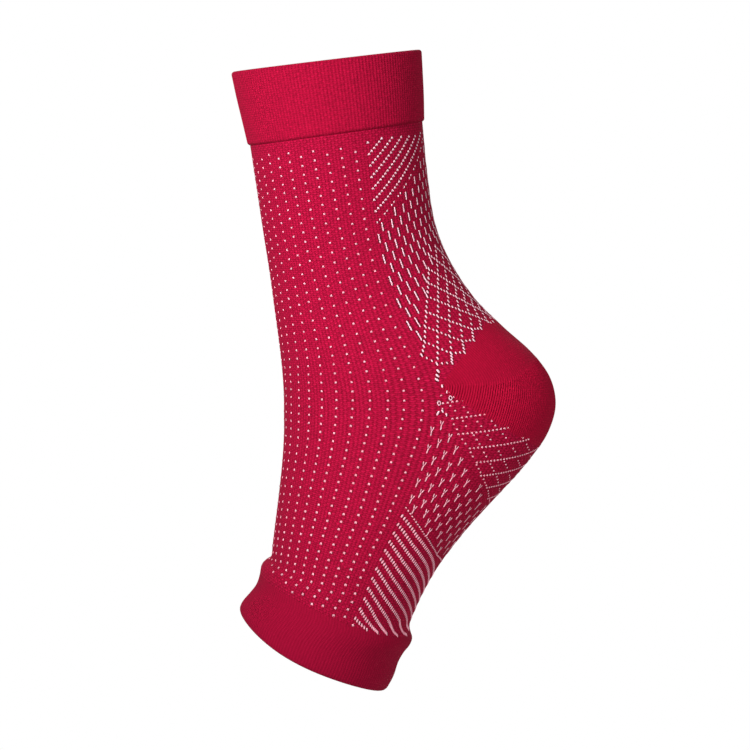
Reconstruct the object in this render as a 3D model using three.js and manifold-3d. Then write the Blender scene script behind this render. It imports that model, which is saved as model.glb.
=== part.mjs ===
// An open-toe ankle compression sleeve: a knitted tube that follows the leg, the heel and the instep, with a
// turned welt round the leg opening, a plain heel pocket and a shorter welt rolled round the toe opening.
// Millimetres, +Z up. The heel points to +X, the shin to -X, and Y runs across the ankle.
// The origin is the centre of the leg opening, where the leg goes in.
import * as THREE from "three";
import { mergeVertices } from "three/addons/utils/BufferGeometryUtils.js";
import Module from "manifold-3d";

// Driving dimensions
const TUBE_WALL = 1.4;
const HEEL_WALL = 1.8;
const WELT_WALL = 2.6;
const SEAM_GAP = 0.3;
const COLUMNS_AROUND = 40;

// Each row is one section of the fabric: where it meets the front and back lines of the ankle, half its width
// across the ankle, how far from front to back it is widest, as a share of its depth, and how far its sides dip
// down the sleeve, towards the front and towards the back.
const SECTION_COLUMNS = ["frontX", "frontZ", "backX", "backZ", "halfWidth", "widest", "frontDip", "backDip"];

const LEG_WELT_SECTIONS = [
  [-39.5, -5.0, 40.0, 4.5, 35.5, 0.5, 0, 0],
  [-37.5, -14.5, 40.5, -4.5, 35.0, 0.5, 0, 0],
  [-35.0, -25.0, 41.0, -15.0, 34.3, 0.5, 0, 0],
  [-32.5, -35.6, 41.2, -25.5, 33.5, 0.5, 0, 0],
];

const TUBE_SECTIONS = [
  [-31.5, -36.0, 40.4, -25.9, 32.6, 0.5, 0, 0],
  [-28.8, -54.0, 42.5, -47.5, 31.2, 0.5, 0, 0],
  [-26.0, -73.0, 45.9, -68.5, 30.2, 0.49, 0, 0],
  [-23.6, -88.5, 52.2, -84.0, 30.4, 0.47, 0, 0],
  [-21.6, -103.5, 62.5, -99.5, 31.8, 0.45, 0, 0],
  [-19.8, -117.0, 74.5, -111.5, 34.0, 0.43, 0, 0],
  [-18.5, -128.5, 87.6, -123.5, 36.0, 0.41, 0, 0],
  [-17.9, -136.5, 94.6, -134.0, 36.6, 0.4, 0, 0],
  [-17.7, -142.0, 96.4, -144.5, 36.6, 0.4, 0, 0],
  [-17.7, -148.0, 93.1, -156.0, 36.6, 0.41, 0, 0],
  [-17.7, -155.5, 84.1, -169.0, 36.6, 0.43, 0, 0],
  [-18.3, -166.5, 71.5, -183.0, 36.8, 0.46, 0, 0],
  [-19.8, -181.0, 58.4, -197.5, 37.4, 0.49, 0, 0],
  [-21.6, -195.5, 46.8, -213.0, 38.4, 0.5, 0, 0],
  [-22.6, -203.5, 40.6, -224.0, 39.0, 0.5, 0, 0.6],
  [-23.3, -208.5, 37.2, -231.5, 39.5, 0.5, 0, 1.4],
  [-25.4, -209.9, 35.4, -236.0, 39.8, 0.5, 0, 1.8],
  [-27.2, -211.8, 35.2, -238.6, 40.0, 0.5, 0, 2.0],
  [-27.9, -215.4, 35.8, -241.0, 40.2, 0.5, 0, 2.0],
];

const TOE_WELT_SECTIONS = [
  [-28.1, -215.8, 36.0, -241.4, 40.3, 0.5, 0, 2.0],
  [-28.7, -218.4, 36.3, -243.0, 40.8, 0.5, 0, 2.0],
  [-29.9, -221.0, 35.4, -245.4, 41.2, 0.5, 0.8, 1.5],
  [-32.6, -224.4, 33.0, -248.4, 41.3, 0.5, 1.8, 1.0],
  [-35.2, -227.4, 30.5, -252.8, 41.4, 0.5, 2.8, 0.5],
  [-36.4, -230.0, 28.4, -259.0, 41.6, 0.5, 4.0, 0],
  [-36.0, -232.0, 25.2, -264.8, 41.2, 0.5, 4.6, 0],
];

// The heel pocket is the fabric inside this wedge, seen from the side: its point lies below the ankle bone, and
// its two edges run back to the tendon and to the sole.
const HEEL_POINT = { x: 46.6, z: -134.2 };
const HEEL_UPPER_EDGE_DEG = 51.5;
const HEEL_LOWER_EDGE_DEG = -32.7;
const WEDGE_REACH = 150;
const WEDGE_WIDTH = 120;

const ROWS_IN_SECTION = 2;
const WELT_EDGE_STEPS = 4;
const SLOPE_STEP = 0.05;

const KNIT_RED = 0xb91739;
const WELT_RED = 0xb5163c;
const HEEL_RED = 0xab1233;
const KNIT_ROUGHNESS = 0.9;

const wasm = await Module();
wasm.setup();

// A smooth tube through a table of sections. place is the distance along its middle, angle 0 is the front line
// and a half turn is the back line.
function tubeThrough(sections) {
  const places = [0];
  for (let i = 1; i < sections.length; i++) {
    const [frontX, frontZ, backX, backZ] = sections[i].map((value, column) => value - sections[i - 1][column]);
    places.push(places[i - 1] + (Math.hypot(frontX, frontZ) + Math.hypot(backX, backZ)) / 2);
  }
  const spline = new THREE.CubicInterpolant(places, sections.flat(), SECTION_COLUMNS.length);
  const length = places[places.length - 1];

  function point(place, angle) {
    const [frontX, frontZ, backX, backZ, halfWidth, widest, frontDip, backDip] = spline.evaluate(place);
    const reach = Math.cos(angle) > 0 ? widest : 1 - widest;
    const depth = widest - reach * Math.cos(angle);
    const dip = THREE.MathUtils.lerp(frontDip, backDip, depth) * Math.sin(angle) ** 2;
    const across = new THREE.Vector2(backX - frontX, backZ - frontZ).normalize();
    return new THREE.Vector3(
      THREE.MathUtils.lerp(frontX, backX, depth) + dip * across.y,
      -halfWidth * Math.sin(angle),
      THREE.MathUtils.lerp(frontZ, backZ, depth) - dip * across.x,
    );
  }

  function outward(place, angle) {
    const before = Math.max(place - SLOPE_STEP, 0);
    const after = Math.min(place + SLOPE_STEP, length);
    const along = point(after, angle).sub(point(before, angle));
    const around = point(place, angle + SLOPE_STEP).sub(point(place, angle - SLOPE_STEP));
    return along.cross(around).normalize();
  }

  return { places, length, point, outward };
}

// Places from one end of a tube to the other, with the same number of rows in each section.
function rowsAlong(tube) {
  const rows = [];
  for (let i = 1; i < tube.places.length; i++) {
    for (let step = 0; step < ROWS_IN_SECTION; step++) {
      rows.push(THREE.MathUtils.lerp(tube.places[i - 1], tube.places[i], step / ROWS_IN_SECTION));
    }
  }
  return [...rows, tube.length];
}

// The outline of a plain wall with square edges: down its outer face and back up its inner one.
function plainWall(tube, wall) {
  const outer = rowsAlong(tube).map((place) => ({ place, depth: 0 }));
  const inner = outer.map(({ place }) => ({ place, depth: wall })).reverse();
  return [...outer, ...inner];
}

// The outline of a turned welt, whose two edges are folded round.
function foldedWall(tube, wall) {
  const fold = wall / 2;
  const flat = rowsAlong(tube).filter((place) => place > wall && place < tube.length - wall);
  const edge = (middle, side) =>
    Array.from({ length: WELT_EDGE_STEPS + 1 }, (_, step) => {
      const turn = (Math.PI * step) / WELT_EDGE_STEPS;
      return { place: middle + side * fold * Math.sin(turn), depth: fold - side * fold * Math.cos(turn) };
    });
  return [
    ...flat.map((place) => ({ place, depth: 0 })),
    ...edge(tube.length - fold, 1),
    ...flat.map((place) => ({ place, depth: wall })).reverse(),
    ...edge(fold, -1),
  ];
}

// Carries a wall's closed outline once round its tube.
function sweepRound(tube, outline) {
  const vertices = [];
  for (const { place, depth } of outline) {
    for (let column = 0; column < COLUMNS_AROUND; column++) {
      const angle = (2 * Math.PI * column) / COLUMNS_AROUND;
      vertices.push(...tube.point(place, angle).addScaledVector(tube.outward(place, angle), -depth));
    }
  }
  const triangles = [];
  for (let row = 0; row < outline.length; row++) {
    const nextRow = (row + 1) % outline.length;
    for (let column = 0; column < COLUMNS_AROUND; column++) {
      const nextColumn = (column + 1) % COLUMNS_AROUND;
      const [a, b] = [row * COLUMNS_AROUND + column, row * COLUMNS_AROUND + nextColumn];
      const [c, d] = [nextRow * COLUMNS_AROUND + column, nextRow * COLUMNS_AROUND + nextColumn];
      triangles.push(a, c, b, b, c, d);
    }
  }
  const geometry = new THREE.BufferGeometry();
  geometry.setAttribute("position", new THREE.Float32BufferAttribute(vertices, 3));
  geometry.setIndex(triangles);
  return geometry;
}

// The wedge that holds the heel pocket, drawn in by inset on its two edges.
function heelWedge(inset) {
  const [upper, lower] = [HEEL_UPPER_EDGE_DEG, HEEL_LOWER_EDGE_DEG].map(THREE.MathUtils.degToRad);
  const middle = (upper + lower) / 2;
  const back = inset / Math.sin((upper - lower) / 2);
  const point = new THREE.Vector2(HEEL_POINT.x + back * Math.cos(middle), HEEL_POINT.z + back * Math.sin(middle));
  const reach = (angle) => new THREE.Vector2(Math.cos(angle), Math.sin(angle)).multiplyScalar(WEDGE_REACH).add(point);
  const outline = new THREE.Shape([point, reach(lower), reach(upper)]);
  return new THREE.ExtrudeGeometry(outline, { depth: WEDGE_WIDTH, bevelEnabled: false })
    .translate(0, 0, -WEDGE_WIDTH / 2)
    .rotateX(Math.PI / 2);
}

function solidOf(geometry) {
  const bare = new THREE.BufferGeometry().setAttribute("position", geometry.getAttribute("position"));
  const merged = mergeVertices(bare.setIndex(geometry.index));
  return new wasm.Manifold(
    new wasm.Mesh({
      numProp: 3,
      vertProperties: merged.getAttribute("position").array,
      triVerts: new Uint32Array(merged.index.array),
    }),
  );
}

function geometryOf(solid) {
  const { vertProperties, triVerts } = solid.getMesh();
  const geometry = new THREE.BufferGeometry();
  geometry.setAttribute("position", new THREE.BufferAttribute(vertProperties, 3));
  return geometry.setIndex(new THREE.BufferAttribute(triVerts, 1));
}

function knitted(name, color, geometry) {
  const material = new THREE.MeshStandardMaterial({ color, roughness: KNIT_ROUGHNESS, metalness: 0 });
  const mesh = new THREE.Mesh(geometry, material);
  mesh.name = name;
  return mesh;
}

function legWelt() {
  const tube = tubeThrough(LEG_WELT_SECTIONS);
  return knitted("leg_welt", WELT_RED, sweepRound(tube, foldedWall(tube, WELT_WALL)));
}

// The leg and foot in one tube, with the heel left open.
function sleeveTube() {
  const tube = tubeThrough(TUBE_SECTIONS);
  const whole = solidOf(sweepRound(tube, plainWall(tube, TUBE_WALL)));
  return knitted("sleeve_tube", KNIT_RED, geometryOf(whole.subtract(solidOf(heelWedge(0)))));
}

// The plain knitted cup that fills the tube's open heel, in a heavier yarn.
function heelPocket() {
  const tube = tubeThrough(TUBE_SECTIONS);
  const whole = solidOf(sweepRound(tube, plainWall(tube, HEEL_WALL)));
  return knitted("heel_pocket", HEEL_RED, geometryOf(whole.intersect(solidOf(heelWedge(SEAM_GAP)))));
}

function toeWelt() {
  const tube = tubeThrough(TOE_WELT_SECTIONS);
  return knitted("toe_welt", WELT_RED, sweepRound(tube, foldedWall(tube, WELT_WALL)));
}

const ankleSleeve = new THREE.Group();
ankleSleeve.add(legWelt(), sleeveTube(), heelPocket(), toeWelt());

export default ankleSleeve;
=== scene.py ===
import math
import bpy
import numpy as np
from mathutils import Matrix, Vector


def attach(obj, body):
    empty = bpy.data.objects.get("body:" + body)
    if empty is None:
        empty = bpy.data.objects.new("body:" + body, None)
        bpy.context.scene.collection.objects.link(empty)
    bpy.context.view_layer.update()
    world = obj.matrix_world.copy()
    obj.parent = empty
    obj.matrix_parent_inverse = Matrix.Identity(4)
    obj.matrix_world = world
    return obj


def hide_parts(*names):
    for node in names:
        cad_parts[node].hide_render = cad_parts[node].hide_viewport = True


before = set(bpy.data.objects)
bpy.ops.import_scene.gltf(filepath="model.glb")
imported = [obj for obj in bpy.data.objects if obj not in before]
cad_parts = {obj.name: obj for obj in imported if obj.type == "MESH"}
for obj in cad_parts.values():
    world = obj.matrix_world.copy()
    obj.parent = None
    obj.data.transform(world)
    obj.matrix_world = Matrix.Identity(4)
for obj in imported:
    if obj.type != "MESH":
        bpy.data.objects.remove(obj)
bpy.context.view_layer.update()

MM = 0.001

# Sections of the fabric from the part's source, in millimetres down the sleeve
# Columns: front x, front z, back x, back z, half width, widest share of the depth, front dip, back dip
LEG_WELT_SECTIONS = (
    (-39.5, -5.0, 40.0, 4.5, 35.5, 0.5, 0, 0),
    (-37.5, -14.5, 40.5, -4.5, 35.0, 0.5, 0, 0),
    (-35.0, -25.0, 41.0, -15.0, 34.3, 0.5, 0, 0),
    (-32.5, -35.6, 41.2, -25.5, 33.5, 0.5, 0, 0),
)
TUBE_SECTIONS = (
    (-31.5, -36.0, 40.4, -25.9, 32.6, 0.5, 0, 0),
    (-28.8, -54.0, 42.5, -47.5, 31.2, 0.5, 0, 0),
    (-26.0, -73.0, 45.9, -68.5, 30.2, 0.49, 0, 0),
    (-23.6, -88.5, 52.2, -84.0, 30.4, 0.47, 0, 0),
    (-21.6, -103.5, 62.5, -99.5, 31.8, 0.45, 0, 0),
    (-19.8, -117.0, 74.5, -111.5, 34.0, 0.43, 0, 0),
    (-18.5, -128.5, 87.6, -123.5, 36.0, 0.41, 0, 0),
    (-17.9, -136.5, 94.6, -134.0, 36.6, 0.4, 0, 0),
    (-17.7, -142.0, 96.4, -144.5, 36.6, 0.4, 0, 0),
    (-17.7, -148.0, 93.1, -156.0, 36.6, 0.41, 0, 0),
    (-17.7, -155.5, 84.1, -169.0, 36.6, 0.43, 0, 0),
    (-18.3, -166.5, 71.5, -183.0, 36.8, 0.46, 0, 0),
    (-19.8, -181.0, 58.4, -197.5, 37.4, 0.49, 0, 0),
    (-21.6, -195.5, 46.8, -213.0, 38.4, 0.5, 0, 0),
    (-22.6, -203.5, 40.6, -224.0, 39.0, 0.5, 0, 0.6),
    (-23.3, -208.5, 37.2, -231.5, 39.5, 0.5, 0, 1.4),
    (-25.4, -209.9, 35.4, -236.0, 39.8, 0.5, 0, 1.8),
    (-27.2, -211.8, 35.2, -238.6, 40.0, 0.5, 0, 2.0),
    (-27.9, -215.4, 35.8, -241.0, 40.2, 0.5, 0, 2.0),
)
TOE_WELT_SECTIONS = (
    (-27.9, -215.4, 35.8, -241.0, 40.2, 0.5, 0, 2.0),
    (-28.7, -218.4, 36.3, -243.0, 40.8, 0.5, 0, 2.0),
    (-29.9, -221.0, 35.4, -245.4, 41.2, 0.5, 0.8, 1.5),
    (-32.6, -224.4, 33.0, -248.4, 41.3, 0.5, 1.8, 1.0),
    (-35.2, -227.4, 30.5, -252.8, 41.4, 0.5, 2.8, 0.5),
    (-36.4, -230.0, 28.4, -259.0, 41.6, 0.5, 4.0, 0),
    (-36.0, -232.0, 25.2, -264.8, 41.2, 0.5, 4.6, 0),
)
HEEL_POINT = np.array([46.6, -134.2])
HEEL_UPPER_EDGE_DEG = 51.5
HEEL_LOWER_EDGE_DEG = -32.7

# Walls and heights in millimetres, and counts of wales, ribs and courses
TUBE_WALL = 1.3
HEEL_WALL = 1.6
WELT_WALL = 2.6
TUBE_WALES = 156
TUBE_COURSES = 228
TUBE_ROWS = 176
UNDER_WELT = 1.2
WELT_RIBS = 168
WELT_COURSES = 90
RIB_HEIGHT = 0.11
HEEL_RIDGES = 124
HEEL_KNIT_COURSES = 70
# Points of a cloth's edges that lie closer than this are sewn up
SEWN_METRES = 0.000004
SHARP_FOLD_DEG = 50


# A cubic curve through the values at the given stops, with straight ends
def smooth_through(stops, values, wanted):
    stops, values = np.asarray(stops, float), np.asarray(values, float)
    wanted = np.asarray(wanted, float)
    last = len(stops) - 1
    after = np.clip(np.searchsorted(stops, wanted, side="right"), 1, last)
    before = after - 1
    start, end = stops[before], stops[after]
    earlier = np.where(before > 0, before - 1, after)
    later = np.where(after < last, after + 1, before)
    later = np.clip(later, 0, last)
    half = (end - start) / 2
    pull_back = half / (start - stops[earlier])
    pull_on = half / (stops[later] - end)
    share = (wanted - start) / (end - start)
    square, cube = share**2, share**3
    weights = (
        (-pull_back * cube + 2 * pull_back * square - pull_back * share, earlier),
        ((1 + pull_back) * cube - (1.5 + 2 * pull_back) * square + (pull_back - 0.5) * share + 1, before),
        (-(1 + pull_on) * cube + (1.5 + pull_on) * square + 0.5 * share, after),
        (pull_on * cube - pull_on * square, later),
    )
    total = 0
    for weight, index in weights:
        total = total + (weight[..., None] if values.ndim > 1 else weight) * values[index]
    return total


# A fabric tube through its sections: place is the distance down the sleeve, angle 0 is the shin line and
# half a turn is the heel line
class FabricTube:
    def __init__(self, sections):
        self.sections = np.array(sections)
        step = np.diff(self.sections[:, :4], axis=0)
        lengths = (np.hypot(step[:, 0], step[:, 1]) + np.hypot(step[:, 2], step[:, 3])) / 2
        self.places = np.concatenate([[0], np.cumsum(lengths)])
        self.length = self.places[-1]

    def point(self, place, angle):
        place, angle = np.broadcast_arrays(np.asarray(place, float), np.asarray(angle, float))
        row = smooth_through(self.places, self.sections, place)
        front_x, front_z, back_x, back_z = np.moveaxis(row[..., :4], -1, 0)
        half_width, widest, front_dip, back_dip = np.moveaxis(row[..., 4:], -1, 0)
        reach = np.where(np.cos(angle) > 0, widest, 1 - widest)
        depth = widest - reach * np.cos(angle)
        dip = (front_dip + (back_dip - front_dip) * depth) * np.sin(angle) ** 2
        across_x, across_z = back_x - front_x, back_z - front_z
        dip = dip / np.hypot(across_x, across_z)
        x = front_x + across_x * depth + across_z * dip
        z = front_z + across_z * depth - across_x * dip
        return np.stack([x, -half_width * np.sin(angle), z], -1)

    # The outward normal, the way down a wale and the way along a course
    def directions(self, place, angle):
        nudge = 0.05
        low = np.minimum(np.asarray(place, float) + nudge, self.length)
        high = np.maximum(np.asarray(place, float) - nudge, 0)
        down = self.point(low, angle) - self.point(high, angle)
        along = self.point(place, angle + nudge) - self.point(place, angle - nudge)
        outward = unit(np.cross(down, along))
        down = unit(down)
        return outward, down, np.cross(outward, down)


def unit(vectors):
    return vectors / np.linalg.norm(vectors, axis=-1, keepdims=True)


leg_welt_tube = FabricTube(LEG_WELT_SECTIONS)
sleeve_tube = FabricTube(TUBE_SECTIONS)
toe_welt_tube = FabricTube(TOE_WELT_SECTIONS)


# A flat grid of knitted cloth, laid where shape(u, v) says and sewn up where its edges meet
def rolled_cloth(name, columns, rows, shape):
    bpy.ops.object.select_all(action="DESELECT")
    bpy.ops.mesh.primitive_grid_add(x_subdivisions=columns, y_subdivisions=rows, size=1)
    cloth = bpy.context.object
    cloth.name = name
    cloth.data.name = name
    flat = np.empty(len(cloth.data.vertices) * 3)
    cloth.data.vertices.foreach_get("co", flat)
    flat = flat.reshape(-1, 3)
    laid = shape(flat[:, 0] + 0.5, flat[:, 1] + 0.5) * MM
    cloth.data.vertices.foreach_set("co", laid.ravel())
    cloth.data.update()
    bpy.ops.object.mode_set(mode="EDIT")
    bpy.ops.mesh.select_all(action="SELECT")
    bpy.ops.mesh.remove_doubles(threshold=SEWN_METRES)
    bpy.ops.object.mode_set(mode="OBJECT")
    bpy.ops.object.shade_smooth()
    return cloth


def thicken(cloth, wall):
    wall_step = cloth.modifiers.new("wall", "SOLIDIFY")
    wall_step.thickness = wall * MM
    wall_step.offset = -1
    bpy.context.view_layer.objects.active = cloth
    bpy.ops.object.modifier_apply(modifier=wall_step.name)
    bpy.ops.object.mode_set(mode="EDIT")
    bpy.ops.mesh.select_all(action="SELECT")
    bpy.ops.mesh.set_sharpness_by_angle(angle=math.radians(SHARP_FOLD_DEG))
    bpy.ops.object.mode_set(mode="OBJECT")


def dress(piece, slot, material, *nodes):
    piece.data.materials.clear()
    piece.data.materials.append(material)
    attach(piece, "root")
    if nodes:
        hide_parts(*nodes)


# Materials

# A loop's lean and height in the knit's relief
LOOP_LEAN = 0.45
LOOP_HEIGHT = 0.2


def new_material(name):
    material = bpy.data.materials.new(name)
    material.use_nodes = True
    nodes = material.node_tree.nodes
    return material, nodes, material.node_tree.links, nodes["Principled BSDF"]


def maths(nodes, links, operation, first, second=None):
    node = nodes.new("ShaderNodeMath")
    node.operation = operation
    for socket, value in zip(node.inputs, (first, second)):
        if value is None:
            continue
        if isinstance(value, (int, float)):
            socket.default_value = value
        else:
            links.new(value, socket)
    return node.outputs[0]


# A ramp from one colour to another between two stops of the factor
def colour_ramp(nodes, links, factor, low_stop, low_colour, high_stop, high_colour):
    ramp = nodes.new("ShaderNodeValToRGB")
    low, high = ramp.color_ramp.elements
    low.position = low_stop
    low.color = (*low_colour, 1)
    high.position = high_stop
    high.color = (*high_colour, 1)
    links.new(factor, ramp.inputs["Fac"])
    return ramp.outputs["Color"]


def fine_noise(nodes, links, coords, scale):
    noise = nodes.new("ShaderNodeTexNoise")
    noise.inputs["Scale"].default_value = scale
    noise.inputs["Detail"].default_value = 2
    links.new(coords.outputs["Object"], noise.inputs["Vector"])
    return noise.outputs["Fac"]


def raise_surface(nodes, links, surface, height, strength, metres):
    bump = nodes.new("ShaderNodeBump")
    bump.inputs["Strength"].default_value = strength
    bump.inputs["Distance"].default_value = metres
    links.new(height, bump.inputs["Height"])
    links.new(bump.outputs["Normal"], surface.inputs["Normal"])


# Knitted cloth: columns of small leaning loops, with painted shade in the grooves between them and painted
# light on their crowns
# uneven is how much lighter or darker the yarn may be, groove how deeply the columns are parted, and brick
# how much every other loop of a column stands out
def knit_material(name, lit, shade, wales, courses, relief, uneven, groove=0.27, brick=0.0):
    material, nodes, links, surface = new_material(name)
    coords = nodes.new("ShaderNodeTexCoord")
    split = nodes.new("ShaderNodeSeparateXYZ")
    links.new(coords.outputs["UV"], split.inputs[0])
    wale = maths(nodes, links, "MULTIPLY", split.outputs["X"], wales)
    course = maths(nodes, links, "MULTIPLY", split.outputs["Y"], courses)
    from_middle = maths(nodes, links, "SUBTRACT", maths(nodes, links, "FRACT", wale), 0.5)
    side = maths(nodes, links, "ABSOLUTE", from_middle)
    crown = maths(nodes, links, "COSINE", maths(nodes, links, "MULTIPLY", wale, 2 * math.pi))
    climbed = maths(nodes, links, "ADD", course, maths(nodes, links, "MULTIPLY", side, 2 * LOOP_LEAN))
    turn = maths(nodes, links, "COSINE", maths(nodes, links, "MULTIPLY", climbed, 2 * math.pi))
    column = maths(nodes, links, "ADD", maths(nodes, links, "MULTIPLY", crown, groove), 0.5)
    height = maths(nodes, links, "ADD", column, maths(nodes, links, "MULTIPLY", turn, LOOP_HEIGHT))
    if brick:
        order = maths(nodes, links, "ADD", climbed, maths(nodes, links, "ROUND", wale))
        other = maths(nodes, links, "COSINE", maths(nodes, links, "MULTIPLY", order, math.pi))
        height = maths(nodes, links, "ADD", height, maths(nodes, links, "MULTIPLY", other, brick))
    # Painted shade and light: the relief's low places take the shade colour, its high places the lit colour
    yarn = colour_ramp(nodes, links, height, 0.1, shade, 0.85, lit)
    chance = fine_noise(nodes, links, coords, 1000)
    tone = colour_ramp(nodes, links, chance, 0.3, [1 - uneven] * 3, 0.7, [1 + uneven] * 3)
    mix = nodes.new("ShaderNodeMix")
    mix.data_type = "RGBA"
    mix.blend_type = "MULTIPLY"
    mix.inputs["Factor"].default_value = 1
    links.new(yarn, mix.inputs["A"])
    links.new(tone, mix.inputs["B"])
    links.new(mix.outputs["Result"], surface.inputs["Base Color"])
    raise_surface(nodes, links, surface, height, 0.6, relief * MM)
    surface.inputs["Roughness"].default_value = 0.88
    surface.inputs["Specular IOR Level"].default_value = 0.05
    surface.inputs["Sheen Weight"].default_value = 0.03
    surface.inputs["Sheen Roughness"].default_value = 0.45
    surface.inputs["Sheen Tint"].default_value = (1.0, 0.3, 0.5, 1)
    return material


def yarn_material(name, shade, lit):
    material, nodes, links, surface = new_material(name)
    coords = nodes.new("ShaderNodeTexCoord")
    fuzz = fine_noise(nodes, links, coords, 1500)
    links.new(colour_ramp(nodes, links, fuzz, 0.3, shade, 0.6, lit), surface.inputs["Base Color"])
    raise_surface(nodes, links, surface, fuzz, 0.4, 0.0002)
    surface.inputs["Roughness"].default_value = 0.8
    surface.inputs["Specular IOR Level"].default_value = 0.3
    return material


tube_knit = knit_material(
    "crimson_jersey",
    lit=(0.47, 0.0054, 0.047),
    shade=(0.18, 0.0012, 0.0135),
    wales=TUBE_WALES,
    courses=TUBE_COURSES,
    relief=0.3,
    uneven=0.22,
    groove=0.15,
    brick=0.15,
)
leg_welt_knit = knit_material(
    "crimson_rib",
    lit=(0.43, 0.0043, 0.0385),
    shade=(0.235, 0.002, 0.0185),
    wales=WELT_RIBS,
    courses=WELT_COURSES,
    relief=0.25,
    uneven=0.2,
    groove=0.2,
    brick=0.1,
)
# The toe welt's rib is slacker, with less contrast, and its colours are darker than the leg welt's: painted
# shade, as the toe welt lies low and faces down
toe_welt_shaded_knit = knit_material(
    "slack_shaded_crimson_rib",
    lit=(0.345, 0.0034, 0.032),
    shade=(0.26, 0.0022, 0.023),
    wales=WELT_RIBS,
    courses=WELT_COURSES,
    relief=0.15,
    uneven=0.06,
)
heel_knit = knit_material(
    "deep_crimson_heel",
    lit=(0.43, 0.0038, 0.0325),
    shade=(0.275, 0.002, 0.021),
    wales=HEEL_RIDGES,
    courses=HEEL_KNIT_COURSES,
    relief=0.12,
    uneven=0.1,
)
pattern_yarn = yarn_material("white_inlay_yarn", (1.0, 0.44, 0.55), (1.0, 0.65, 0.76))
# A darker, pinker copy of the white inlay yarn for the dots, lattice, ticks and stripes: painted shade of
# stitches sunk in the cloth
shaded_inlay_yarn = yarn_material("shaded_sunk_inlay_yarn", (1.0, 0.3, 0.41), (1.0, 0.5, 0.61))
# Near-black crimson: painted shade in the knit's holes beside the stitches
gap_shade_paint = yarn_material("painted_gap_shade_crimson", (0.1, 0.0008, 0.008), (0.16, 0.0013, 0.013))


# Leg and foot tube

# How far in front of the heel's point the cloth is cut, and how close a cut may pass to a point
CUT_MARGIN = 1.5
CUT_METRES = 0.00001


# The cloth runs on up behind the leg welt's lower fold
def tube_shape(u, v):
    place = (1 - v) * (sleeve_tube.length + UNDER_WELT) - UNDER_WELT
    return sleeve_tube.point(place, (2 * u - 1) * np.pi)


def edge_direction(degrees):
    turn = math.radians(degrees)
    return np.array([math.cos(turn), math.sin(turn)])


# How far a point seen from the side lies above the heel's lower edge
def lower_edge_height(x, z):
    lower = edge_direction(HEEL_LOWER_EDGE_DEG)
    return lower[0] * (z - HEEL_POINT[1]) - lower[1] * (x - HEEL_POINT[0])


# How far a point seen from the side lies inside the heel's wedge
def inside_heel(x, z):
    upper = edge_direction(HEEL_UPPER_EDGE_DEG)
    below_upper = upper[1] * (x - HEEL_POINT[0]) - upper[0] * (z - HEEL_POINT[1])
    return np.minimum(below_upper, lower_edge_height(x, z))


def face_middles(mesh):
    middles = np.empty(len(mesh.polygons) * 3)
    mesh.polygons.foreach_get("center", middles)
    return middles.reshape(-1, 3) / MM


def select_faces(mesh, chosen):
    mesh.vertices.foreach_set("select", np.zeros(len(mesh.vertices), bool))
    mesh.edges.foreach_set("select", np.zeros(len(mesh.edges), bool))
    mesh.polygons.foreach_set("select", chosen)


def cut_heel_out(cloth):
    bpy.context.view_layer.objects.active = cloth
    for degrees in (HEEL_UPPER_EDGE_DEG, HEEL_LOWER_EDGE_DEG):
        along = edge_direction(degrees)
        middles = face_middles(cloth.data)
        select_faces(cloth.data, middles[:, 0] > HEEL_POINT[0] - CUT_MARGIN)
        bpy.ops.object.mode_set(mode="EDIT")
        bpy.ops.mesh.bisect(
            plane_co=(HEEL_POINT[0] * MM, 0, HEEL_POINT[1] * MM),
            plane_no=(-along[1], 0, along[0]),
            threshold=CUT_METRES,
        )
        bpy.ops.object.mode_set(mode="OBJECT")
    middles = face_middles(cloth.data)
    select_faces(cloth.data, inside_heel(middles[:, 0], middles[:, 2]) > 0)
    bpy.ops.object.mode_set(mode="EDIT")
    bpy.ops.mesh.delete(type="FACE")
    bpy.ops.object.mode_set(mode="OBJECT")


knit_tube = rolled_cloth("knit_tube", TUBE_WALES, TUBE_ROWS, tube_shape)
cut_heel_out(knit_tube)
thicken(knit_tube, TUBE_WALL)
dress(knit_tube, "tube_knit", tube_knit, "sleeve_tube")


# Turned heel: a fan of courses about the heel's two points, each course running round the back
HEEL_COURSES = 50
HEEL_STEPS = 744
# Ridges below and above the mitre line, and the low welt along it
HEEL_RIDGE_HEIGHT = 0.38
UPPER_RIDGE_HEIGHT = 0.05
MITRE_WELT_HEIGHT = 0.28
MITRE_WELT_DEG = 1.6
MITRE_BLEND_DEG = 2.5
# The ridges begin at the heel's point and its lower edge, and fade towards the back
RIDGE_BEGIN = 5
RIDGE_BEGIN_DEG = 4
MITRE_WELT_BEGIN = 6
RIDGE_FADE_AWAY = (30, 44)
RIDGE_FADE = (1, 0.2)
# Below the bend the ridges run straight and lean, on each side's share of a course
RIDGE_LEAN_DEG = 21
RIDGE_BEND_DEG = 6
RIDGE_SIDE_SHARE = 0.3
# A point inside the heel that its surface faces away from
HEEL_MIDDLE = np.array([HEEL_POINT[0] - 6, 0, HEEL_POINT[1] - 2])
# Points along half a course, and how near they come to the heel's point and to the middle of the back
HALF_COURSE_POINTS = 241
NEAREST_POINT = 0.02
NEAREST_BACK = 0.99995
# Places on the tube between which the heel lies
HEEL_PLACES = (70, 165)
# The mitre line seen from the side: how far from the heel point, and its direction there
MITRE_AWAY = (0, 6.5, 11.5, 24, 31, 34.5, 38, 42)
MITRE_DEG = (14, 11, 2.7, 2.4, 4.4, 7.6, 10, 13)

search_places = np.linspace(*HEEL_PLACES, 1901)
search_rows = smooth_through(sleeve_tube.places, sleeve_tube.sections, search_places)


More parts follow.
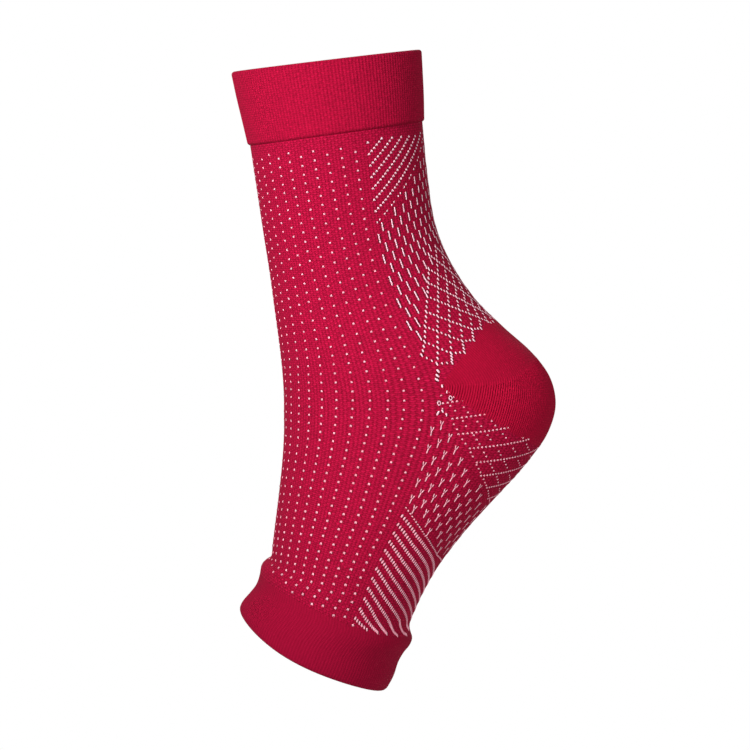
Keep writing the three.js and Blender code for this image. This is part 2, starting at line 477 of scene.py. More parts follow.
# The tube's place and angle under a point seen from the side
def under_side_point(x, z):
    front_x, front_z, back_x, back_z = search_rows.T[:4]
    offset = (back_x - front_x) * (z[:, None] - front_z) - (back_z - front_z) * (x[:, None] - front_x)
    crossing = np.argmax((offset[:, :-1] >= 0) != (offset[:, 1:] >= 0), axis=1)
    rows = np.arange(len(x))
    share = offset[rows, crossing] / (offset[rows, crossing] - offset[rows, crossing + 1])
    place = search_places[crossing] + share * (search_places[1] - search_places[0])
    row = smooth_through(sleeve_tube.places, sleeve_tube.sections, place)
    depth = (x - row[:, 0]) / (row[:, 2] - row[:, 0])
    wide = row[:, 5]
    reach = np.where(depth < wide, wide, 1 - wide)
    return place, np.arccos(np.clip((wide - depth) / reach, -1, 1))


# How far the fabric reaches back from the heel point, in each direction of the fan
def heel_reach(fan):
    ring = sleeve_tube.point(search_places, np.pi)
    turned = np.arctan2(ring[:, 2] - HEEL_POINT[1], ring[:, 0] - HEEL_POINT[0])
    away = np.hypot(ring[:, 0] - HEEL_POINT[0], ring[:, 2] - HEEL_POINT[1])
    order = np.argsort(turned)
    return np.interp(fan, turned[order], away[order])


# The way out of the cup, from the middle of the heel
def heel_outward(course):
    return unit(course - HEEL_MIDDLE)


# Ridges of the heavier yarn below the mitre line, fainter ones above it, and a low welt along the line
def heel_relief(course, fan, from_point, ridge):
    away = np.hypot(course[:, 0] - HEEL_POINT[0], course[:, 2] - HEEL_POINT[1])
    mitre = np.interp(away, MITRE_AWAY, MITRE_DEG)
    below = np.clip((mitre - math.degrees(fan)) / MITRE_BLEND_DEG + 0.5, 0, 1)
    from_edge = math.degrees(fan) - HEEL_LOWER_EDGE_DEG
    fade_in = np.clip(from_point / RIDGE_BEGIN, 0, 1) * np.clip(from_edge / RIDGE_BEGIN_DEG, 0, 1)
    fade_out = np.interp(away, RIDGE_FADE_AWAY, RIDGE_FADE)
    welt = np.exp(-(((math.degrees(fan) - mitre) / MITRE_WELT_DEG) ** 2))
    welt = welt * np.clip((from_point - MITRE_WELT_BEGIN) / MITRE_WELT_BEGIN, 0, 1)
    ridge_height = UPPER_RIDGE_HEIGHT + HEEL_RIDGE_HEIGHT * below
    return fade_in * fade_out * (ridge * ridge_height + MITRE_WELT_HEIGHT * welt)


# How far along a course each step lies, so that the ridges run straight and lean below the bend
def ridge_shares(fan):
    lean = min(math.degrees(fan), RIDGE_BEND_DEG) + RIDGE_LEAN_DEG
    side = RIDGE_SIDE_SHARE / math.cos(math.radians(lean))
    steps = np.linspace(0, 1, HEEL_STEPS + 1)
    stops = (0, RIDGE_SIDE_SHARE, 0.5, 1 - RIDGE_SIDE_SHARE, 1)
    return np.interp(steps, stops, (0, side, 0.5, 1 - side, 1))


def heel_shape(u, v):
    edges = math.radians(HEEL_LOWER_EDGE_DEG), math.radians(HEEL_UPPER_EDGE_DEG)
    fan_steps = np.linspace(edges[0], edges[1], HEEL_COURSES + 1)
    ridge = 0.5 + 0.5 * np.cos(2 * np.pi * HEEL_RIDGES * np.linspace(0, 1, HEEL_STEPS + 1))
    course_points = []
    for fan in fan_steps:
        away = np.sin(np.linspace(0, np.pi / 2, HALF_COURSE_POINTS)) * heel_reach(fan) * NEAREST_BACK
        away = np.maximum(away, NEAREST_POINT)
        x = HEEL_POINT[0] + away * math.cos(fan)
        z = HEEL_POINT[1] + away * math.sin(fan)
        place, angle = under_side_point(x, z)
        near = sleeve_tube.point(place, angle)
        near[0] = sleeve_tube.point(*under_side_point(HEEL_POINT[:1] + NEAREST_POINT, HEEL_POINT[1:]))[0]
        near[-1, 1] = 0
        far = near[::-1] * (1, -1, 1)
        whole = np.concatenate([near, far[1:]])
        run = np.concatenate([[0], np.cumsum(np.linalg.norm(np.diff(whole, axis=0), axis=1))])
        even = run[-1] * ridge_shares(fan)
        course = np.stack([np.interp(even, run, whole[:, i]) for i in range(3)], -1)
        from_point = np.minimum(even, run[-1] - even)
        relief = heel_relief(course, fan, from_point, ridge)
        course_points.append(course + heel_outward(course) * relief[:, None])
    cup = np.array(course_points)
    row = np.rint(v * HEEL_COURSES).astype(int)
    column = np.rint(u * HEEL_STEPS).astype(int)
    return cup[row, column]


turned_heel = rolled_cloth("turned_heel", HEEL_STEPS, HEEL_COURSES, heel_shape)
thicken(turned_heel, HEEL_WALL)
dress(turned_heel, "heel_knit", heel_knit, "heel_pocket")


# Turned welts: the cloth goes up the outside, over the top fold, down the inside and round the lower fold
FOLD_STEPS = 8
WELT_STEPS = 24
COLUMNS_PER_RIB = 4


def quarter_turn(round_off):
    turns = np.linspace(0, np.pi / 2, FOLD_STEPS + 1)
    return round_off * np.sin(turns), round_off * (1 - np.cos(turns))


# Places and depths round a welt's section; top_round is the radius of its top fold
def welt_outline(tube, top_round):
    fold = WELT_WALL / 2
    rise, tuck = quarter_turn(fold)
    top_rise, top_tuck = quarter_turn(top_round)
    outer = np.linspace(tube.length - fold, top_round, WELT_STEPS)
    top_out = (top_round - top_rise, top_tuck)
    top_in = (top_round - top_rise[::-1], WELT_WALL - top_tuck[::-1])
    inner = np.linspace(top_round, tube.length - fold, WELT_STEPS // 2)
    low_in = (tube.length - fold + rise, WELT_WALL - tuck)
    low_out = (tube.length - fold + rise[::-1], tuck[::-1])
    place = np.concatenate([outer, top_out[0][1:], top_in[0], inner[1:], low_in[0][1:], low_out[0][1:]])
    outside, inside = np.zeros(WELT_STEPS), np.full(WELT_STEPS // 2 - 1, WELT_WALL)
    depth = np.concatenate([outside, top_out[1][1:], top_in[1], inside, low_in[1][1:], low_out[1][1:]])
    return place, depth


# The ribs begin below a plain strip at the top edge
def ribbed_welt(name, tube, top_round, plain_strip):
    place, depth = welt_outline(tube, top_round)
    begun = np.clip(place / plain_strip, 0, 1)

    def shape(u, v):
        row = np.rint(v * (len(place) - 1)).astype(int)
        angle = (2 * u - 1) * np.pi
        outward = tube.directions(place[row], angle)[0]
        rib = RIB_HEIGHT * begun[row] * (0.5 - 0.5 * np.cos(2 * np.pi * WELT_RIBS * u))
        facing = 1 - 2 * depth[row] / WELT_WALL
        return tube.point(place[row], angle) - outward * (depth[row] + rib * facing)[:, None]

    return rolled_cloth(name, WELT_RIBS * COLUMNS_PER_RIB, len(place) - 1, shape)


ribbed_leg_welt = ribbed_welt("ribbed_leg_welt", leg_welt_tube, top_round=WELT_WALL / 2, plain_strip=1.0)
dress(ribbed_leg_welt, "welt_knit", leg_welt_knit, "leg_welt")
ribbed_toe_welt = ribbed_welt("ribbed_toe_welt", toe_welt_tube, top_round=0.02, plain_strip=8.0)
dress(ribbed_toe_welt, "welt_knit", toe_welt_shaded_knit, "toe_welt")


# White inlay stitches

# How far the middle of a loop or of a gap's mound of painted shade lies off the cloth, and how high it is
STITCH_LIFT = 0.05
STITCH_HEIGHT = 0.2
GAP_LIFT = 0.04
GAP_HEIGHT = 0.06
# Length of a gap's mound of painted shade, as a share of the loop beside it
GAP_LENGTH = 0.75
# A vee's two loops: how far to the side each sits and how wide it is, as shares of the stitch's width
VEE_SIDE = 0.24
VEE_LOOP_WIDTH = 0.58
# Half the width and half the height of a ring, and the size of its six loops
RING_HALF_WIDTH = 0.59
RING_HALF_HEIGHT = 0.79
RING_LOOP_WIDTH = 0.5
RING_LOOP_LENGTH = 0.95
# The patterns of the back and the sole end just short of the middle
PATTERN_END_DEG = 179.5


# The points and faces of the shape just made, a unit long, wide and high, in an order that is always the same
def take_shape():
    made = bpy.context.object
    points = np.array([vertex.co for vertex in made.data.vertices])
    order = np.lexsort(points.round(4).T)
    rank = np.argsort(order)
    faces = []
    for face in made.data.polygons:
        corners = [int(rank[index]) for index in face.vertices]
        first = corners.index(min(corners))
        faces.append(tuple(corners[first:] + corners[:first]))
    bpy.data.objects.remove(made)
    return points[order], sorted(faces)


bpy.ops.object.select_all(action="DESELECT")
bpy.ops.mesh.primitive_uv_sphere_add(segments=6, ring_count=4, radius=0.5, rotation=(math.pi / 2, 0, 0))
bpy.ops.object.transform_apply(location=False, rotation=True, scale=False)
yarn_loop = take_shape()
bpy.ops.mesh.primitive_cone_add(vertices=8, radius1=0.5, radius2=0, depth=1)
low_mound = take_shape()


# Lays one shape at every loop of a chart, as wide and as long as the loop
def lay_loops(name, chart, shape, lift, high):
    place, degrees, across, down, wide, long, lean = np.array(chart).T
    angle = np.radians(degrees)
    outward, down_wale, along = sleeve_tube.directions(place, angle)
    middle = sleeve_tube.point(place, angle) + outward * lift
    middle = middle + along * across[:, None] + down_wale * down[:, None]
    turn = np.radians(lean)[:, None]
    long_way = (down_wale * np.cos(turn) + along * np.sin(turn)) * long[:, None]
    wide_way = (along * np.cos(turn) - down_wale * np.sin(turn)) * wide[:, None]
    shape_points, shape_faces = shape
    points = (
        middle[:, None]
        + shape_points[None, :, 0, None] * wide_way[:, None]
        + shape_points[None, :, 1, None] * long_way[:, None]
        + shape_points[None, :, 2, None] * outward[:, None] * high
    )
    count = len(shape_points)
    faces = [tuple(index + count * n for index in face) for n in range(len(chart)) for face in shape_faces]
    mesh = bpy.data.meshes.new(name)
    mesh.from_pydata((points.reshape(-1, 3) * MM).tolist(), [], faces)
    laid = bpy.data.objects.new(name, mesh)
    bpy.context.scene.collection.objects.link(laid)
    bpy.ops.object.select_all(action="DESELECT")
    laid.select_set(True)
    bpy.context.view_layer.objects.active = laid
    bpy.ops.object.mode_set(mode="EDIT")
    bpy.ops.mesh.select_all(action="SELECT")
    bpy.ops.mesh.normals_make_consistent(inside=False)
    bpy.ops.object.mode_set(mode="OBJECT")
    bpy.ops.object.shade_smooth()
    return laid


class StitchChart:
    def __init__(self):
        self.rows = []

    # One loop: where the stitch sits, the loop's size and lean, and its offset across and down the stitch
    def loop(self, place, degrees, wide, long, lean=0.0, across=0.0, down=0.0):
        self.rows.append((place, degrees, across, down, wide, long, lean))

    # A knitted stitch shows as two loops that lean together
    def vee(self, place, degrees, wide, long, lean=24):
        for side in (-1, 1):
            self.loop(place, degrees, wide * VEE_LOOP_WIDTH, long, side * lean, side * wide * VEE_SIDE)

    # A loop pulled open shows as a ring
    def ring(self, place, degrees):
        for turn in range(0, 360, 60):
            across = RING_HALF_WIDTH * math.sin(math.radians(turn))
            down = RING_HALF_HEIGHT * math.cos(math.radians(turn))
            self.loop(place, degrees, RING_LOOP_WIDTH, RING_LOOP_LENGTH, turn + 90, across, down)

    # The same on the far side of the ankle
    def mirror(self):
        for place, degrees, across, down, wide, long, lean in list(self.rows):
            self.loop(place, -degrees, wide, long, -lean, -across, down)

    # The stitches, and low mounds of painted shade in the cloth beside them, each wider than its loop by
    # gap_width
    def lay(self, name, yarn, gap_width):
        stitches = lay_loops(name, self.rows, yarn_loop, STITCH_LIFT, STITCH_HEIGHT)
        dress(stitches, "pattern_yarn", yarn)
        gap_rows = np.array(self.rows)
        gap_rows[:, 4] += gap_width
        gap_rows[:, 5] *= GAP_LENGTH
        gap_shade_mounds = lay_loops(name.replace("stitches", "gap_shade_mounds"), gap_rows, low_mound, GAP_LIFT, GAP_HEIGHT)
        dress(gap_shade_mounds, "tube_knit", gap_shade_paint)
        return [stitches, gap_shade_mounds]


# Dots on the front and the sides
LAST_DOT_COLUMN = 11
DOT_COLUMN_DEG = 9.2
DOT_WIDTH = 0.82
DOT_LENGTH = 0.9
DOT_LEAN = 8
FIRST_DOT_PLACE = 4.2
# The dots grow from the leg to the foot, where the cloth is slacker
DOT_SWELL_PLACES = (90, 200)
DOT_SWELL = (1.0, 1.18)
# The last place that a dot can have above the toe welt, by degrees from the shin line
LAST_DOT_DEG = (0, 20, 42, 57, 73, 105)
LAST_DOT_PLACE = (209.5, 211.5, 214.9, 215.7, 216.5, 217.3)
# The single dot at the corner of the stripes; columns: place, degrees, wide, long
CORNER_DOT = (216.9, 104.6, 0.97, 1.06)
# How the columns of dots wander round the ankle, in degrees, where the fabric is stretched
# Columns: place, drift at the fourth column, at the ninth, at the twelfth
WALE_DRIFT = np.array([
    (0, 1.6, 0.0, 0.4),
    (16, 1.8, 1.0, 0.6),
    (42, 5.4, 3.2, 0.4),
    (70, 8.6, 5.7, -2.4),
    (88, 7.8, 6.7, -3.6),
    (101, 6.3, 5.9, -3.6),
    (113, 4.6, 5.5, -3.4),
    (127, 3.9, 3.7, -3.9),
    (146, 3.6, 1.7, -3.9),
    (163, 2.5, 0.1, -3.7),
    (175, 1.3, -0.7, -3.5),
    (189, 1.7, -1.2, -4.1),
    (218, 3.5, -1.2, -3.2),
])
# Where the rows of dots cross three of the columns
# Columns: row, place on the fourth, place on the ninth, place on the eleventh
DOT_ROWS = np.array([
    (-5, -14.8, -23.2, -26.6),
    (0, 4.5, -4.2, -7.7),
    (3, 16.1, 7.4, 3.9),
    (10, 42.3, 34.1, 30.8),
    (17, 70.8, 64.4, 61.8),
    (21, 87.7, 84.4, 83.1),
    (24, 100.9, 98.6, 97.7),
    (27, 113.6, 113.4, 113.4),
    (30, 127.2, 125.6, 125.8),
    (34, 146.0, 142.0, 141.9),
    (38, 163.0, 157.8, 157.2),
    (41, 174.7, 169.0, 167.9),
    (45, 189.1, 183.1, 181.5),
    (48, 200.3, 193.8, 191.8),
    (51, 211.3, 204.0, 201.4),
    (54, 221.8, 214.2, 211.3),
    (58, 236.0, 227.5, 224.2),
])


def wandering(column, place):
    fourth, ninth, twelfth = (smooth_through(WALE_DRIFT[:, 0], WALE_DRIFT[:, i], place) for i in (1, 2, 3))
    drift = np.interp(column, (-12, 0, 4, 9, 12), (-twelfth, fourth, fourth, ninth, twelfth))
    return DOT_COLUMN_DEG * column + drift


def dot_place(row, column):
    crossings = (smooth_through(DOT_ROWS[:, 0], DOT_ROWS[:, i], float(row)) for i in (1, 2, 3))
    fourth, ninth, eleventh = (float(crossing) for crossing in crossings)
    if abs(column) > 9:
        return ninth + (eleventh - ninth) * (abs(column) - 9) / 2
    return fourth + (ninth - fourth) * (abs(column) - 4) / 5


dots = StitchChart()
for column in range(-LAST_DOT_COLUMN, LAST_DOT_COLUMN + 1):
    for row in range(-4, 58):
        place = dot_place(row, column)
        degrees = float(wandering(column, place))
        if FIRST_DOT_PLACE < place < np.interp(abs(degrees), LAST_DOT_DEG, LAST_DOT_PLACE):
            swell = float(np.interp(place, DOT_SWELL_PLACES, DOT_SWELL))
            dots.vee(place, degrees, DOT_WIDTH * swell, DOT_LENGTH * swell, DOT_LEAN)
corner_place, corner_degrees, corner_wide, corner_long = CORNER_DOT
for side in (-1, 1):
    dots.vee(corner_place, side * corner_degrees, corner_wide, corner_long, DOT_LEAN)
dot_stitches = dots.lay("dot_stitches", shaded_inlay_yarn, gap_width=0.9)

# Slanting dotted lines under the leg welt, at the back
SLANT_LINES = 8
SLANT_STEPS = 37
SLANT_FIRST_DEG = 110.6
SLANT_STEP_DEG = 2.05
FIRST_SLANT_PLACE = 3.6
# The lowest line is at this place at these degrees, and all lines climb towards the back
SLANT_LEVEL_PLACE = 36.2
SLANT_LEVEL_DEG = 111.6
SLANT_SPACING = 4.6
SLANT_CLIMB = 0.532


def slant_place(line, degrees):
    return SLANT_LEVEL_PLACE - SLANT_SPACING * line - SLANT_CLIMB * (degrees - SLANT_LEVEL_DEG)


slants = StitchChart()
for line in range(SLANT_LINES):
    for step in range(SLANT_STEPS):
        degrees = SLANT_FIRST_DEG + SLANT_STEP_DEG * step
        place = slant_place(line, degrees)
        if degrees > 180 or place < FIRST_SLANT_PLACE:
            continue
        if line > 0:
            slants.vee(place, degrees, wide=0.9, long=1.05)
        elif step % 3 < 2:
            slants.loop(place, degrees, wide=0.7, long=0.9, lean=-20)
slants.mirror()
slant_stitches = slants.lay("slant_stitches", pattern_yarn, gap_width=1.0)

# Long dashes down the sides of the tendon, in brick order
DASH_PLACES = (5.0, 13.6, 22.0, 30.2, 38.7, 47.2, 56.1, 65.9, 76.3, 87.8, 99.6, 112.0)
DASH_STEPS = 22
DASH_COLUMNS = 18
DASH_FIRST_DEG = 113.7
DASH_COLUMN_DEG = 3.7
# How much higher the dashes of the next column sit, by the step down the sleeve
DASH_CLIMB_STEPS = (10, 12)
DASH_CLIMB = (0.52, 0.7)
# How the columns lean towards the shin on their way down, in degrees
DASH_DRIFT_PLACES = (40, 56, 66, 77, 88, 98)
DASH_DRIFT_DEG = (0, -0.7, -1.6, -2.8, -3.8, -4.4)
DASH_DRIFT_GROWTH = 0.4
# The dashes grow down the sleeve, and shrink towards the tendon
DASH_STRETCH_PLACES = (30, 85)
DASH_STRETCH = (0.74, 0.98)
DASH_CROWDED_COLUMNS = (4, 10)
DASH_CROWDED = (1, 0.84)
# A dash is a chain of four loops
DASH_LOOPS = (-1.5, -0.5, 0.5, 1.5)
DASH_LOOP_SPACING = 1.15
DASH_LOOP_WIDTH = 0.7
DASH_LOOP_LENGTH = 1.5
DASH_LOOP_LEAN = 8
# Where the dashes may be: clear of the slants, on the cloth, and the outermost column only low down
DASH_SLANT_GAP = 2.6
FIRST_DASH_PLACE = 4.5
LAST_DASH_PLACE = 97
LAST_DASH_DEG = 179
OUTER_DASH_PLACE = 42
# The net's left edge, where the dashes stop; columns: place, degrees
NET_EDGE = np.array([
    (10, 186),
    (46, 155.5),
    (57.0, 145.2),
    (59.0, 138.8),
    (69.6, 127.5),
    (76.6, 121.4),
    (83.6, 115.8),
    (91.0, 111.1),
    (97.4, 106.3),
])
NET_EDGE_GAP_DEG = 2.2
# The net's top edge, a straight line down to the tendon
NET_TOP_PLACE = 43.0
NET_TOP_DEG = 150.5
NET_TOP_FALL = 0.5


def dash_fits(column, place, degrees):
    below_slants = place >= slant_place(0, degrees) + DASH_SLANT_GAP
    on_cloth = FIRST_DASH_PLACE <= place <= LAST_DASH_PLACE and degrees <= LAST_DASH_DEG
    in_column = column >= 0 or place >= OUTER_DASH_PLACE
    above_net = place < NET_TOP_PLACE + NET_TOP_FALL * (degrees - NET_TOP_DEG)
    beside_net = degrees <= np.interp(place, NET_EDGE[:, 0], NET_EDGE[:, 1]) - NET_EDGE_GAP_DEG
    return below_slants and on_cloth and in_column and (above_net or beside_net)


dashes = StitchChart()
for column in range(-1, DASH_COLUMNS):
    for step in range(DASH_STEPS):
        if step % 2 != column % 2:
            continue
        climb = float(np.interp(step, DASH_CLIMB_STEPS, DASH_CLIMB))
        place = float(np.interp(step / 2, range(len(DASH_PLACES)), DASH_PLACES)) - climb * column
        drift = float(np.interp(place, DASH_DRIFT_PLACES, DASH_DRIFT_DEG))
        degrees = DASH_FIRST_DEG + DASH_COLUMN_DEG * column + drift * (1 + DASH_DRIFT_GROWTH * column)
        if not dash_fits(column, place, degrees):
            continue
        crowded = np.interp(column, DASH_CROWDED_COLUMNS, DASH_CROWDED)
        stretch = float(np.interp(place, DASH_STRETCH_PLACES, DASH_STRETCH) * crowded)
        for index, part in enumerate(DASH_LOOPS):
            lean = DASH_LOOP_LEAN * (-1) ** index
            down = part * DASH_LOOP_SPACING * stretch
            dashes.loop(place, degrees, DASH_LOOP_WIDTH, DASH_LOOP_LENGTH * stretch, lean, down=down)
dashes.mirror()
dash_stitches = dashes.lay("dash_stitches", pattern_yarn, gap_width=1.35)

# Diamond net over the tendon; columns: place, degrees, place a column, degrees a column, last column
NET_LINES = (
    (46.0, 150.5, 3.0, 6.0, 9),
    (52.0, 144.5, 2.9, 5.8, 9),
    (58.0, 138.5, 2.8, 5.6, 9),
    (63.8, 132.7, 2.45, 5.25, 9),
    (69.6, 126.8, 2.45, 5.35, 9),
    (76.6, 120.9, 2.6, 4.7, 5),
    (83.6, 115.4, 2.85, 4.35, 4),
    (91.0, 110.7, 3.3, 4.0, 3),
    (97.4, 106.0, 4.6, 4.1, 2),
)
# A line that ends before the tendon hooks along the heel's edge, by so many degrees
NET_FULL_COLUMNS = 9
NET_HOOK_DEG = 2.2
# Loops between two nodes, as shares of the way
NET_SHARES = (0.34, 0.67)
# How far the net may reach into the heel
NET_OVERLAP = 2.5
# Large loops that end the net at the heel's point; columns: place, degrees, wide, long, lean
APEX_LOOPS = (
    (105.4, 109.2, 1.0, 2.0, 20),
    (107.4, 108.2, 1.0, 2.1, 28),
    (109.2, 107.4, 1.0, 2.1, 35),
    (112.0, 108.5, 0.9, 1.5, 0),
    (114.5, 109.7, 0.9, 1.5, 0),
    (122.8, 105.7, 0.9, 2.3, -25),
    (122.0, 107.3, 0.9, 1.6, 30),
    (123.4, 108.8, 0.8, 1.5, 0),
)
# Loops pulled open there; columns: place, degrees
APEX_RINGS = ((116.9, 110.6), (118.8, 106.2))
net = StitchChart()


def net_node(line, column):
    place, degrees, place_step, degree_step, last = NET_LINES[line]
    hooked = last < NET_FULL_COLUMNS and column == last
    drop = place_step * (column - 1) if hooked else place_step * column
    turn = degree_step * column + (NET_HOOK_DEG if hooked else 0)
    return np.array([place + drop, degrees + turn])


def net_loop(spot, wide, long):
    x, _, z = sleeve_tube.point(spot[0], math.radians(spot[1]))
    if spot[1] < PATTERN_END_DEG and inside_heel(x, z) < NET_OVERLAP:
        net.loop(spot[0], spot[1], wide, long)


def net_cord(start, end, wide, long):
    for share in NET_SHARES:
        net_loop(start + (end - start) * share, wide, long)


# The dashes take the place of the net's first column beside its top two lines
for line, (_, _, _, _, last) in enumerate(NET_LINES):
    for column in range(1 if line == 0 else 0, last + 1):
        node = net_node(line, column)
        net_loop(node, wide=0.8, long=1.95)
        if column < last:
            net_cord(node, net_node(line, column + 1), wide=0.76, long=1.15)
        beside_dash = line < 2 and column == 0
        if line + 1 < len(NET_LINES) and column <= NET_LINES[line + 1][4] and not beside_dash:
            net_cord(node, net_node(line + 1, column), wide=0.84, long=1.5)
for place, degrees, wide, long, lean in APEX_LOOPS:
    net.loop(place, degrees, wide, long, lean)
for place, degrees in APEX_RINGS:
    net.ring(place, degrees)
net.mirror()
net_stitches = net.lay("net_stitches", pattern_yarn, gap_width=1.2)

# Dotted lattice under the heel: its left edge falls from the top by the drop at each angle
LATTICE_TOP = 121.0
LATTICE_DEG = (107.3, 109.8, 113.5, 116.8, 121.5, 128.3, 134.4, 141.2, 148.5, 154.1, 165.0, 180.0)
LATTICE_DROP = (0.0, 3.6, 7.8, 11.8, 15.6, 21.2, 25.0, 28.8, 32.0, 34.6, 38.0, 41.0)
LATTICE_FIRST_DEG = 107.2
LATTICE_EDGE_MARGIN = 0.8
LATTICE_HEEL_MARGIN = 1.2
# Level rows of dots
LATTICE_ROWS = 8
LATTICE_ROW_STEPS = 42
LATTICE_ROW_DEG = 107.6
LATTICE_STEP_DEG = 1.76
LATTICE_LEVEL_PLACE = 117.3
LATTICE_LEVEL_DEG = 119
LATTICE_ROW_SPACING = 6.45
LATTICE_ROW_CLIMB = 0.14
# Falling lines of dots, which keep clear of the rows
LATTICE_FALLS = 12
LATTICE_FALL_SPACING = 5.2
LATTICE_DOT_SPACING = 2.2
LATTICE_MM_PER_DEG = 0.75
LATTICE_CLEAR = 0.16
lattice = StitchChart()


def lattice_drop(degrees):
    return float(np.interp(degrees, LATTICE_DEG, LATTICE_DROP))


def lattice_row(line, degrees):
    climb = LATTICE_ROW_CLIMB * (degrees - LATTICE_LEVEL_DEG)
    return LATTICE_LEVEL_PLACE + LATTICE_ROW_SPACING * line - climb


def in_lattice(place, degrees):
    x, _, z = sleeve_tube.point(place, math.radians(degrees))
    in_edge = place < LATTICE_TOP + lattice_drop(degrees) + LATTICE_EDGE_MARGIN
    below_heel = lower_edge_height(x, z) < LATTICE_HEEL_MARGIN
    return LATTICE_FIRST_DEG < degrees < PATTERN_END_DEG and in_edge and below_heel


for line in range(LATTICE_ROWS):
    for step in range(LATTICE_ROW_STEPS):
        degrees = LATTICE_ROW_DEG + LATTICE_STEP_DEG * step
        place = lattice_row(line, degrees)
        if in_lattice(place, degrees):
            lattice.vee(place, degrees, wide=0.85, long=0.85)
for line in range(LATTICE_FALLS):
    reached = -LATTICE_DOT_SPACING
    for degrees in np.arange(LATTICE_DEG[0], PATTERN_END_DEG, 0.1):
        drop = lattice_drop(degrees)
        run = math.hypot(drop, (degrees - LATTICE_DEG[0]) * LATTICE_MM_PER_DEG)
        if run - reached < LATTICE_DOT_SPACING:
            continue
        reached = run
        place = LATTICE_TOP - LATTICE_FALL_SPACING * line + drop
        past_row = (place - lattice_row(0, degrees)) / LATTICE_ROW_SPACING % 1
        if in_lattice(place, degrees) and LATTICE_CLEAR < past_row < 1 - LATTICE_CLEAR:
            lattice.vee(place, degrees, wide=0.75, long=0.75)
lattice.mirror()
lattice_stitches = lattice.lay("lattice_stitches", shaded_inlay_yarn, gap_width=0.6)

# The dotted line between the ticks and the stripes
DOTTED_DEG = (106.0, 107.9, 115.7, 125.3, 137.6, 149.7, 168.0, 180.0)
DOTTED_PLACE = (165.2, 166.4, 170.9, 175.6, 180.4, 184.4, 187.6, 188.6)


def dotted_line(degrees):
    return float(np.interp(degrees, DOTTED_DEG, DOTTED_PLACE))


# Forked ticks over the arch, in brick order
TICK_COLUMNS = 17
TICK_STEPS = range(-14, 9)
TICK_FIRST_DEG = 104.1
TICK_LAST_DEG = 176
TICK_LATTICE_GAP = 2.2
TICK_LINE_GAP = 1.6
# The foot and the stem of a tick, and its two arms; columns: wide, long, lean, across, down
TICK_LOOPS = (
    (0.6, 1.6, 0, 0, 1.4),
    (0.62, 1.4, 0, 0, 0.4),
    (0.5, 1.8, 14, -0.44, -1.0),
    (0.5, 1.8, -14, 0.44, -1.0),
)


# The columns spread and the ticks of a column close up towards the sole
def tick_spot(column, step):
    place = 130.1 + 5.05 * column - 0.075 * column**2 + (7.75 - 0.15 * column) * step
    degrees = 105.5 + 3.6 * column + 0.12 * column**2 + 0.09 * (place - 145 - 3 * column)
    return place, degrees


ticks = StitchChart()
for column in range(TICK_COLUMNS):
    for step in TICK_STEPS:
        place, degrees = tick_spot(column, step)
        upper = LATTICE_TOP + lattice_drop(degrees) + TICK_LATTICE_GAP
        lower = dotted_line(degrees) - TICK_LINE_GAP
        if TICK_FIRST_DEG < degrees < TICK_LAST_DEG and upper <= place <= lower:
            for loop in TICK_LOOPS:
                ticks.loop(place, degrees, *loop)
ticks.mirror()
tick_stitches = ticks.lay("tick_stitches", shaded_inlay_yarn, gap_width=0.6)

# Rope stripes round the foot, below the dotted line, which fall towards the sole by the drop at each angle
STRIPE_DEG = (106.2, 114.0, 122.0, 133.0, 147.0, 165.0, 180.0)
STRIPE_DROP = (0.0, 3.75, 7.3, 11.1, 15.4, 20.9, 24.0)
STRIPE_LINES = 12
STRIPE_STEPS = 39
STRIPE_STEP_DEG = 1.9
STRIPE_FIRST_PLACE = 169.2
STRIPE_SPACING = 4.03
LAST_STRIPE_PLACE = 216.8
STRIPE_END_DEG = 179.6
# The lower stripes are flatter
STRIPE_BEND = 1.1
STRIPE_BEND_LOSS = 0.035
# Near the toe welt the stripes are gathered towards the shin, under the sole only
GATHER_PLACE = 210.5
GATHER_DEG_PER_MM = 1.9
GATHER_FROM_TO_DEG = (118, 150)
stripes = StitchChart()
for step in range(STRIPE_STEPS):
    degrees = STRIPE_DEG[0] + STRIPE_STEP_DEG * step
    if degrees >= STRIPE_END_DEG:
        continue
    stripes.vee(dotted_line(degrees), degrees, wide=0.75, long=0.75)
    drop = float(np.interp(degrees, STRIPE_DEG, STRIPE_DROP))
    under_sole = float(np.interp(degrees, GATHER_FROM_TO_DEG, (0, 1)))
    for line in range(STRIPE_LINES):
        bend = STRIPE_BEND - STRIPE_BEND_LOSS * line
        place = STRIPE_FIRST_PLACE + STRIPE_SPACING * line + bend * drop
        gathered = GATHER_DEG_PER_MM * max(0, place - GATHER_PLACE) * under_sole
        if place < LAST_STRIPE_PLACE:
            stripes.loop(place, degrees - gathered, wide=0.95, long=1.65, lean=-10)
stripes.mirror()
stripe_stitches = stripes.lay("stripe_stitches", shaded_inlay_yarn, gap_width=0.9)

stitch_pieces = dot_stitches + slant_stitches + dash_stitches + net_stitches
stitch_pieces += lattice_stitches + tick_stitches + stripe_stitches


# Floor, light and camera

FLOOR_MIDDLE = (0.02, 0, -0.46)
LIGHTING_STRENGTH = 0.34
BACKDROP_STRENGTH = 1.0
WHITE = (1, 1, 1, 1)
bpy.ops.object.select_all(action="DESELECT")
bpy.ops.mesh.primitive_circle_add(vertices=96, radius=0.5, fill_type="NGON", location=(0, 0, 0))
floor = bpy.context.object
floor.name = "pale_floor"
floor.data.transform(Matrix.Translation(FLOOR_MIDDLE))
floor_paint, _, _, floor_surface = new_material("pale_floor_paint")
floor_surface.inputs["Base Color"].default_value = (0.92, 0.92, 0.92, 1)
floor_surface.inputs["Roughness"].default_value = 0.9
floor.data.materials.append(floor_paint)

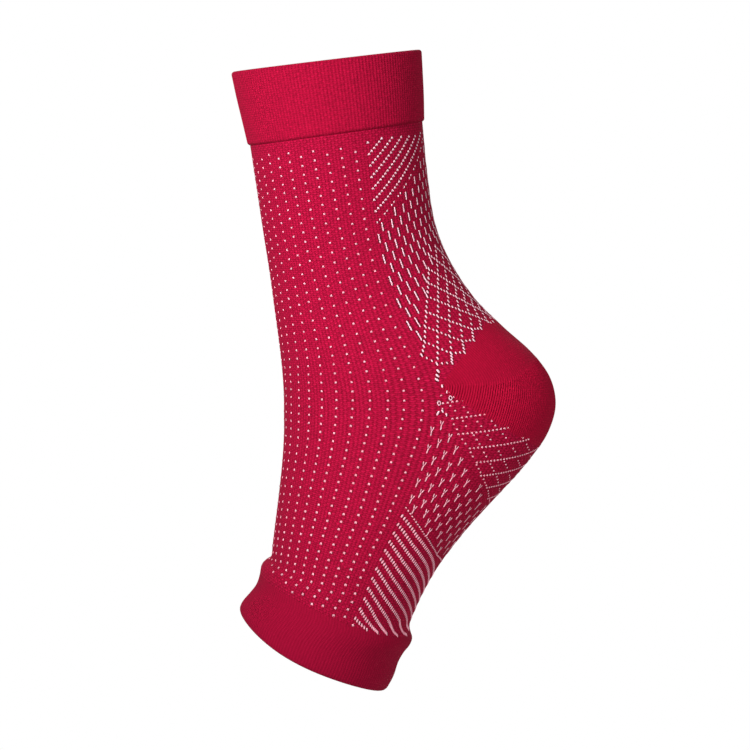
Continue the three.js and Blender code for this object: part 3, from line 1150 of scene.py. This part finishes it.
scene = bpy.context.scene
scene.view_settings.view_transform = "Standard"
world = bpy.data.worlds.new("studio")
scene.world = world
world.use_nodes = True
world_nodes, world_links = world.node_tree.nodes, world.node_tree.links
world_nodes["Background"].inputs["Color"].default_value = WHITE
world_nodes["Background"].inputs["Strength"].default_value = LIGHTING_STRENGTH
backdrop = world_nodes.new("ShaderNodeBackground")
backdrop.inputs["Color"].default_value = WHITE
backdrop.inputs["Strength"].default_value = BACKDROP_STRENGTH
ray = world_nodes.new("ShaderNodeLightPath")
blend = world_nodes.new("ShaderNodeMixShader")
world_links.new(ray.outputs["Is Camera Ray"], blend.inputs["Fac"])
world_links.new(world_nodes["Background"].outputs[0], blend.inputs[1])
world_links.new(backdrop.outputs[0], blend.inputs[2])
world_links.new(blend.outputs[0], world_nodes["World Output"].inputs["Surface"])


# A square light at a place, turned to what it is aimed at; spread is in degrees
def soft_light(name, place, aim, size, watts, spread):
    bpy.ops.object.light_add(type="AREA", location=place)
    lamp = bpy.context.object
    lamp.name = name
    lamp.data.size = size
    lamp.data.energy = watts
    lamp.data.spread = math.radians(spread)
    way = np.array(aim) - np.array(place)
    lamp.rotation_mode = "QUATERNION"
    lamp.rotation_quaternion = Vector(way).to_track_quat("-Z", "Y")


soft_light("key_light", (-0.5, -0.7, 0.3), (0.01, 0, -0.045), size=0.3, watts=0.7, spread=40)
soft_light("fill_light", (0.35, -1.2, 0.35), (0.02, 0, -0.1), size=0.8, watts=4.6, spread=180)
soft_light("arch_light", (0.12, -0.85, -0.4), (0.055, 0, -0.185), size=0.2, watts=0.011, spread=14)
soft_light("back_light", (0.15, 1.3, 0.5), (0.02, 0, -0.1), size=0.8, watts=5, spread=180)

VIEW_TARGET = (0.02058, 0.0, -0.13167)
VIEW_DISTANCE = 1.5
VIEW_ELEVATION = math.radians(4.5)
SENSOR_MM = 36
LENS_MM = 171.43
bpy.ops.object.camera_add(
    location=(
        VIEW_TARGET[0],
        -VIEW_DISTANCE * math.cos(VIEW_ELEVATION),
        VIEW_TARGET[2] + VIEW_DISTANCE * math.sin(VIEW_ELEVATION),
    ),
    rotation=(math.pi / 2 - VIEW_ELEVATION, 0, 0),
)
camera = bpy.context.object
camera.name = "photo_camera"
camera.data.sensor_width = SENSOR_MM
camera.data.lens = LENS_MM
scene.camera = camera
